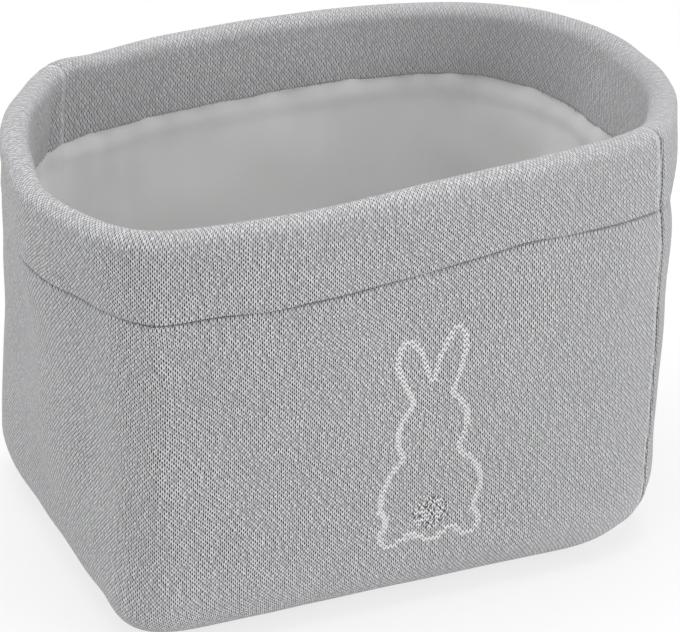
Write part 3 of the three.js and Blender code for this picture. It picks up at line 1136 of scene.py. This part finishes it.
# %% Sockets as values
class Value:
    """A socket of a material's node tree that Python's operators extend with Math nodes."""

    def __init__(self, finish, socket):
        self.finish = finish
        self.socket = socket

    def math(self, operation, *others):
        """A Math node of that operation on this value and the others."""
        inputs = dict(enumerate((self, *others)))
        return self.finish.node("ShaderNodeMath", {"operation": operation}, inputs)

    def __add__(self, other):
        return self.math("ADD", other)

    __radd__ = __add__

    def __mul__(self, other):
        return self.math("MULTIPLY", other)

    __rmul__ = __mul__

    def __sub__(self, other):
        return self.math("SUBTRACT", other)

    def __rsub__(self, other):
        return (self * -1) + other

    def __truediv__(self, other):
        return self.math("DIVIDE", other)

    def part(self, index):
        """The X, Y or Z part of a vector."""
        return self.finish.node("ShaderNodeSeparateXYZ", {}, {0: self}, index)

    def wave(self, turns):
        """The cosine of the value, taken as that many turns per unit."""
        return (self * (2 * math.pi * turns)).math("COSINE")

    def clamp(self):
        """The value kept from 0 to 1."""
        return self.finish.node("ShaderNodeClamp", {}, {"Value": self})

    def between(self, low, high):
        """Zero below low, one above high and smooth between them."""
        settings = {"interpolation_type": "SMOOTHSTEP"}
        inputs = {"Value": self, "From Min": low, "From Max": high}
        return self.finish.node("ShaderNodeMapRange", settings, inputs)


class Finish:
    """The node tree of a material or of the world, built node by node."""

    def __init__(self, owner):
        self.owner = owner
        owner.use_nodes = True
        self.tree = owner.node_tree
        self.tree.nodes.clear()

    def node(self, kind, settings, inputs, output=0):
        """Adds a node, sets it, then fills its sockets with values or links, and gives one output."""
        made = self.tree.nodes.new(kind)
        for key, value in settings.items():
            setattr(made, key, value)
        for key, value in inputs.items():
            if isinstance(value, Value):
                self.tree.links.new(value.socket, made.inputs[key])
            else:
                made.inputs[key].default_value = value
        return Value(self, made.outputs[output]) if made.outputs else None

    def vector(self, x, y, z=0.0):
        """A vector from three values or numbers."""
        return self.node("ShaderNodeCombineXYZ", {}, {0: x, 1: y, 2: z})

    def threads(self):
        """Lengths round and up the cloth, in millimetres, from the piece's own thread map."""
        place = self.node("ShaderNodeUVMap", {"uv_map": "threads"}, {})
        return place.part(0) * 1000, place.part(1) * 1000

    def noise(self, place, scale, detail=2.0, roughness=0.5):
        """Soft noise at a place: three separate fields, each about 0 to 1, as a vector."""
        inputs = {"Vector": place, "Scale": scale, "Detail": detail, "Roughness": roughness}
        return self.node("ShaderNodeTexNoise", {"noise_dimensions": "3D"}, inputs, 1)

    def position(self):
        """The place on the object, in metres."""
        return self.node("ShaderNodeTexCoord", {}, {}, "Object")

    def blend(self, share, low, high):
        """A colour the given share of the way from low to high."""
        inputs = {"Factor": share, "A": low, "B": high}
        return self.node("ShaderNodeMix", {"data_type": "RGBA"}, inputs, 2)

    def surface(self, color, roughness, normal=None, **constants):
        """Ends the tree in a Principled surface and gives back the material."""
        inputs = {"Base Color": color, "Roughness": roughness}
        if normal is not None:
            inputs["Normal"] = normal
        shader = self.node("ShaderNodeBsdfPrincipled", {}, inputs)
        for key, value in constants.items():
            socket = key.replace("_", " ").title().replace("Ior", "IOR")
            shader.socket.node.inputs[socket].default_value = value
        self.node("ShaderNodeOutputMaterial", {}, {"Surface": shader})
        return self.owner

    def bump(self, height, distance):
        """A surface normal tilted by a height in units of the distance."""
        inputs = {"Height": height, "Distance": distance, "Strength": 1.0}
        return self.node("ShaderNodeBump", {}, inputs)


def new_finish(name):
    """A finish with a material of its own."""
    return Finish(bpy.data.materials.new(name))


def rgb(red, green, blue):
    """A colour as linear values from screen values of 0 to 255."""
    screen = np.array([red, green, blue]) / 255
    linear = np.where(screen <= 0.04045, screen / 12.92, ((screen + 0.055) / 1.055) ** 2.4)
    return (*linear.tolist(), 1.0)


# %% [markdown]
# ## The knit
#
# Up close the knit is a net of pale strands round small dark pits. The pits stand in columns, and
# each column is half a stitch off from the next. Every fourth pit is deeper, which gives the
# cloth its faint bird's-eye pattern, and seen at a slant the rows of pits line up as diagonals.
# The pits' dark colour is painted shade: the shade that falls into the holes between the strands.

# %% Knit finish
STRAND_LOW = (154, 154, 156)
STRAND_HIGH = (232, 232, 234)
# Painted shade: the pits' dark grey stands for the shade that falls into the holes between the strands.
PIT_SHADE_COLOR = (56, 56, 59)
# Painted shade: the darker grey laid into the seams' grooves.
GROOVE_SHADE_COLOR = (92, 92, 96)
CLOUD_COLOR = (150, 150, 153)
PLAIN_COLOR = (172, 172, 174)  # the grey that the pattern is blended towards
# Painted light: the paler grey near the foot stands for light bounced up from the floor.
FOOT_BOUNCE_COLOR = (214, 214, 216)
JITTER = 0.6  # millimetres that the yarn strays from its place
# The pits' field turns from strand to pit between these values, in colour and in height.
PIT_FIELD = (-0.6, 3.1)
PIT_HEIGHT_FIELD = (-0.5, 2.6)
KNIT_BUMP = 0.0004
# Distances from a seam, in millimetres, between which the pale strip, the painted shade of the groove and
# the darker column of pits set in or end.
STRIP_END = (2.6, 4.4)
GROOVE_SHADE_END = (0.2, 0.7)
COLUMN_START = (0.35, 0.6)
COLUMN_END = (1.25, 1.5)
# Places on the basket, in metres along X, Y or Z, between which a change of tone sets in.
RIGHT_SPAN = (0.0, 0.13)
REAR_SPAN = (0.0, 0.09)
TOP_SPAN = (0.176, 0.190)
FOOT_BOUNCE_SPAN = (0.0, 0.045)
HEEL_SPAN = (0.002, 0.013)
# The largest share of plain grey at the right, the rim and the rear. The last is the share of a paler
# grey at the foot: painted light for the floor's bounce, doubled at the right end.
RIGHT_PLAIN = 0.33
TOP_PLAIN = 0.12
REAR_PLAIN = 0.25
FOOT_BOUNCE_SHARE = 0.18


def knit_pattern(finish):
    """The fields of the pits and the eyes, a random number per pit and per strand, and the place.

    With p as the length round over the column's width, and q as the length up over half a stitch,
    the pits lie where s = (p + q) / 2 and t = (p - q) / 2 are both whole. The field is the sum of
    the cosines of one turn per s, per t and per p. Cosines of half a turn make every fourth pit
    deeper.
    """
    round_mm, up_mm = finish.threads()
    place = finish.position()
    jitter = finish.noise(place, 330.0, 2.0)
    patch = finish.noise(place, 45.0, 2.0)
    lean_round, lean_up = thread_drift(round_mm, up_mm)
    p = (round_mm + lean_round + (jitter.part(0) - 0.5) * JITTER) / COLUMN
    q = (up_mm + lean_up + (jitter.part(1) - 0.5) * JITTER) * (2 / STITCH)
    s = (p + q) * 0.5
    t = (p - q) * 0.5
    cell = finish.vector(s.math("ROUND"), t.math("ROUND"))
    flat = {"noise_dimensions": "2D"}
    single = finish.node("ShaderNodeTexWhiteNoise", flat, {"Vector": cell}, 0)
    strand_cell = finish.vector(s.math("FLOOR"), t.math("FLOOR"))
    strand = finish.node("ShaderNodeTexWhiteNoise", flat, {"Vector": strand_cell}, 0)
    pits = s.wave(1.0) * 1.0 + t.wave(1.0) * 0.9 + p.wave(1.0) * 1.8
    eyes = s.wave(0.5) * (0.7 + patch.part(2) * 1.6) + t.wave(0.5) * 0.7 + p.wave(0.5) * 0.5
    return pits, eyes, single, strand, place


def knit_finish():
    """Grey knit: pale strands, darker pits, faint larger unevenness and the noise of fine fibres.

    The pits' field is pits + eyes with a random strength per pit. It blends the strand's tone
    into the pits' dark grey, which is painted shade in the holes between the strands. The edge
    attribute is positive on the front left half, so the pale strip lies on that side of a seam and
    the column of pits painted darker on the other, and a darker grey is painted into the seam's
    groove as shade. Towards the right end, the rear and the rim the pattern is blended with a
    plain grey, by shares that were tuned until the tones came near the photograph's. Towards the
    foot it is blended with a paler grey, painted light for the floor's bounce, twice as much at
    the right end.
    """
    finish = new_finish("grey_knit")
    pits, eyes, single, strand, place = knit_pattern(finish)
    beside = finish.node("ShaderNodeAttribute", {"attribute_name": "edge"}, {}, 2)
    away = beside.math("ABSOLUTE")
    left = beside.between(-0.1, 0.1)
    strip = left * (1 - away.between(*STRIP_END))
    groove_shade = 1 - away.between(*GROOVE_SHADE_END)
    column = away.between(*COLUMN_START) * (1 - away.between(*COLUMN_END)) * (1 - left)
    fibre = finish.noise(place, 1500.0, 2.0, 0.6).part(0)
    cloud = finish.noise(place, 28.0, 3.0).part(0)
    top = place.part(2).between(*TOP_SPAN)
    field = pits * (0.62 + single * 0.76) + eyes * 0.28 + (single - 0.5) * 0.7
    field = field + (fibre - 0.5) * 3.6 + column * 1.7
    heel = 1 - place.part(2).between(*HEEL_SPAN)
    # The pits' darkness is painted shade; it is weaker on the pale strip, at the rim and near the floor.
    dark = field.between(*PIT_FIELD) * (1 - strip * 0.75) * (1 - top * 0.2) * (1 - heel * 0.8)
    # Painted shade as well: the strands are a little darker towards the pits.
    pale = strand * 0.6 + fibre * 0.7 - 0.2 - pits * 0.1
    light = finish.blend(pale.clamp(), rgb(*STRAND_LOW), rgb(*STRAND_HIGH))
    light = finish.blend(cloud * 0.25, light, rgb(*CLOUD_COLOR))
    color = finish.blend(dark, light, rgb(*PIT_SHADE_COLOR))
    right = place.part(0).between(*RIGHT_SPAN)
    rear = place.part(1).between(*REAR_SPAN)
    plain = right * RIGHT_PLAIN + top * TOP_PLAIN + rear * REAR_PLAIN
    color = finish.blend(plain, color, rgb(*PLAIN_COLOR))
    # Painted light: paler towards the foot, and more so at the right end, for the floor's bounce.
    foot_bounce = 1 - place.part(2).between(*FOOT_BOUNCE_SPAN)
    color = finish.blend(foot_bounce * (right * FOOT_BOUNCE_SHARE + FOOT_BOUNCE_SHARE), color, rgb(*FOOT_BOUNCE_COLOR))
    # Painted shade in the seam's groove.
    color = finish.blend(groove_shade * 0.15, color, rgb(*GROOVE_SHADE_COLOR))
    height = fibre * 0.3 + strand * 0.15 - field.between(*PIT_HEIGHT_FIELD)
    normal = finish.bump(height * (1 - strip * 0.8), KNIT_BUMP)
    return finish.surface(color, 0.92, normal, specular_ior_level=0.25, sheen_weight=0.1)


grey_knit = knit_finish()
for piece in (*wall_knits, *cuffs, knit_base):
    piece.data.materials.append(grey_knit)

# %% [markdown]
# ## Lining, wadding and board
#
# The lining is a fine plain weave, pale and quite smooth. The wadding is white fluff. The board is
# grey pulp board with darker fibres. None of them needs a pattern larger than its threads.

# %% Lining finish
THREAD = 0.32  # from one thread of the weave to the next


def lining_finish():
    """Plain weave: over and under threads as a product of two waves, faintly uneven."""
    finish = new_finish("pale_lining")
    round_mm, up_mm = finish.threads()
    place = finish.position()
    warp = (round_mm * (2 * math.pi / THREAD)).math("SINE")
    weft = (up_mm * (2 * math.pi / THREAD)).math("SINE")
    weave = warp * weft * 0.5 + 0.5
    cloud = finish.noise(place, 40.0, 3.0).part(0)
    color = finish.blend(weave * 0.35 + cloud * 0.3, rgb(218, 218, 218), rgb(238, 238, 237))
    normal = finish.bump(weave + cloud * 0.6, 0.00008)
    return finish.surface(color, 0.7, normal, specular_ior_level=0.3, sheen_weight=0.1)


def wadding_finish():
    """White fluff: fine noise in colour and height."""
    finish = new_finish("white_wadding")
    place = finish.position()
    fluff = finish.noise(place, 700.0, 5.0, 0.7).part(0)
    color = finish.blend(fluff, rgb(222, 221, 216), rgb(246, 245, 241))
    return finish.surface(color, 0.95, finish.bump(fluff, 0.0006))


def board_finish():
    """Pulp board: short darker fibres over a warm grey."""
    finish = new_finish("pulp_board")
    place = finish.position()
    grain = finish.noise(place, 350.0, 6.0, 0.7).part(0)
    speck = finish.noise(place, 1500.0, 2.0).part(0).between(0.62, 0.7)
    color = finish.blend(grain, rgb(150, 140, 122), rgb(188, 178, 158))
    color = finish.blend(speck * 0.5, color, rgb(96, 88, 76))
    return finish.surface(color, 0.88, finish.bump(grain, 0.0001))


def yarn_finish(name, low, high):
    """Soft yarn: fibre noise between two shades, and a fine bump."""
    finish = new_finish(name)
    fibre = finish.noise(finish.position(), 2300.0, 3.0, 0.7).part(0)
    color = finish.blend(fibre.between(0.25, 0.75), rgb(*low), rgb(*high))
    normal = finish.bump(fibre, 0.00012)
    return finish.surface(color, 0.9, normal, specular_ior_level=0.25, sheen_weight=0.1)


white_yarn = yarn_finish("white_yarn", (201, 201, 203), (240, 240, 241))
tail_yarn = yarn_finish("tail_yarn", (222, 222, 224), (250, 250, 251))
dark_yarn = yarn_finish("dark_yarn", (72, 72, 75), (116, 116, 120))
grey_thread = yarn_finish("grey_thread", (144, 144, 147), (182, 182, 185))
for piece, finish in (
    (outline_yarn, white_yarn),
    (tail_white, tail_yarn),
    (tail_dark, dark_yarn),
    (hem_thread, grey_thread),
    (base_thread, grey_thread),
    *((piece, grey_thread) for piece in seam_threads),
):
    piece.data.materials.append(finish)

pale_lining = lining_finish()
white_wadding = wadding_finish()
pulp_board = board_finish()
for piece in (*linings, floor_lining):
    piece.data.materials.append(pale_lining)
for piece in (*waddings, base_wadding):
    piece.data.materials.append(white_wadding)
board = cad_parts["base_board"]
board.data.materials.clear()
board.data.materials.append(pulp_board)

# %% [markdown]
# ## Floor, light and camera
#
# A plain pale floor and a wide soft light, as in a studio. The floor shows itself nearly white to
# the camera and keeps a little of the basket's shadow. To every other ray it gives a smaller
# share of its white, which lights the foot a little from below.

# %% Floor
FLOOR_HALF = 3.0
FLOOR_UNDER = -0.0002  # a little under the base, so that no two faces lie in one plane
GLOW_FOR_ALL = 0.3  # the share of white that every ray meets
GLOW_FOR_CAMERA = 0.42  # and how much more the camera's own rays meet


def studio_floor():
    """A wide square just under the base: a mix of real shadow and of plain white."""
    sides = ((-1, -1), (1, -1), (1, 1), (-1, 1))
    corners = [(x * FLOOR_HALF, y * FLOOR_HALF, FLOOR_UNDER) for x, y in sides]
    mesh = bpy.data.meshes.new("studio_floor")
    mesh.from_pydata(corners, [], [(0, 1, 2, 3)])
    thing = bpy.data.objects.new("studio_floor", mesh)
    scene.collection.objects.link(thing)
    finish = new_finish("floor_white")
    diffuse = finish.node("ShaderNodeBsdfDiffuse", {}, {"Color": rgb(236, 236, 236)})
    glow = finish.node("ShaderNodeEmission", {}, {"Color": (1, 1, 1, 1), "Strength": 1.0})
    ray = finish.node("ShaderNodeLightPath", {}, {}, "Is Camera Ray")
    share = ray * GLOW_FOR_CAMERA + GLOW_FOR_ALL
    shader = finish.node("ShaderNodeMixShader", {}, {0: share, 1: diffuse, 2: glow})
    finish.node("ShaderNodeOutputMaterial", {}, {"Surface": shader})
    mesh.materials.append(finish.owner)


studio_floor()

# %% Light
# Each lamp is (name, place, size, energy), in metres and watts.
LAMPS = (
    ("lamp_above", (0.0, 0.1, 1.6), 1.3, 18.0),
    ("lamp_left", (-1.4, 0.3, 0.7), 1.0, 4.6),
    ("lamp_front", (1.0, -1.2, 0.6), 1.0, 9.7),
)
LAMP_TARGET = (0, 0, 0.1)
SKY = 0.56


def soft_lamp(name, place, size, energy):
    """A square area lamp that looks at the middle of the basket."""
    lamp = bpy.data.lights.new(name, "AREA")
    lamp.shape = "SQUARE"
    lamp.size = size
    lamp.energy = energy
    thing = bpy.data.objects.new(name, lamp)
    thing.location = place
    look = Vector(LAMP_TARGET) - Vector(place)
    thing.rotation_euler = look.to_track_quat("-Z", "Y").to_euler()
    scene.collection.objects.link(thing)


for lamp in LAMPS:
    soft_lamp(*lamp)

world = bpy.data.worlds.new("studio")
sky = Finish(world)
plain = sky.node("ShaderNodeBackground", {}, {"Color": (1, 1, 1, 1), "Strength": SKY})
white = sky.node("ShaderNodeBackground", {}, {"Color": (1, 1, 1, 1), "Strength": 1.0})
camera_ray = sky.node("ShaderNodeLightPath", {}, {}, "Is Camera Ray")
glossy_ray = sky.node("ShaderNodeLightPath", {}, {}, "Is Glossy Ray")
clear_ray = sky.node("ShaderNodeLightPath", {}, {}, "Is Transmission Ray")
seen = camera_ray.math("MAXIMUM", glossy_ray.math("MAXIMUM", clear_ray))
both = sky.node("ShaderNodeMixShader", {}, {0: seen, 1: plain, 2: white})
sky.node("ShaderNodeOutputWorld", {}, {"Surface": both})
scene.world = world
scene.view_settings.view_transform = "Standard"

# %% Camera
CAMERA_TURN = 22.34
CAMERA_RISE = 27.27
CAMERA_DISTANCE = 1524.65
CAMERA_TARGET = (-2.49, -23.36, 99.14)
FOCAL_LENGTH = 189.44
SENSOR = 36.0
FRAME_SHIFT = (0.0096, 0.00685)


def studio_camera():
    """A long lens that looks at the target, turned round and raised by the two angles."""
    turn = math.radians(CAMERA_TURN)
    rise = math.radians(CAMERA_RISE)
    back = Vector((-math.sin(turn) * math.cos(rise), -math.cos(turn) * math.cos(rise), math.sin(rise)))
    target = (Vector(CAMERA_TARGET) + Vector(SHIFT)) * MM
    lens = bpy.data.cameras.new("studio_camera")
    lens.sensor_fit = "HORIZONTAL"
    lens.sensor_width = SENSOR
    lens.lens = FOCAL_LENGTH
    lens.shift_x, lens.shift_y = FRAME_SHIFT
    thing = bpy.data.objects.new("studio_camera", lens)
    thing.location = target + back * CAMERA_DISTANCE * MM
    thing.rotation_euler = (-back).to_track_quat("-Z", "Y").to_euler()
    scene.collection.objects.link(thing)
    scene.camera = thing


studio_camera()

# %% [markdown]
# ## The base panels' flat sizes
#
# The flat size of each base panel follows from the outline that its shape here gives.


for piece, inset in ((knit_base, BASE_INSET + SEAM_LAP), (floor_lining, BASE_INSET)):
    outline = raw_point(FINE, inset, 0)
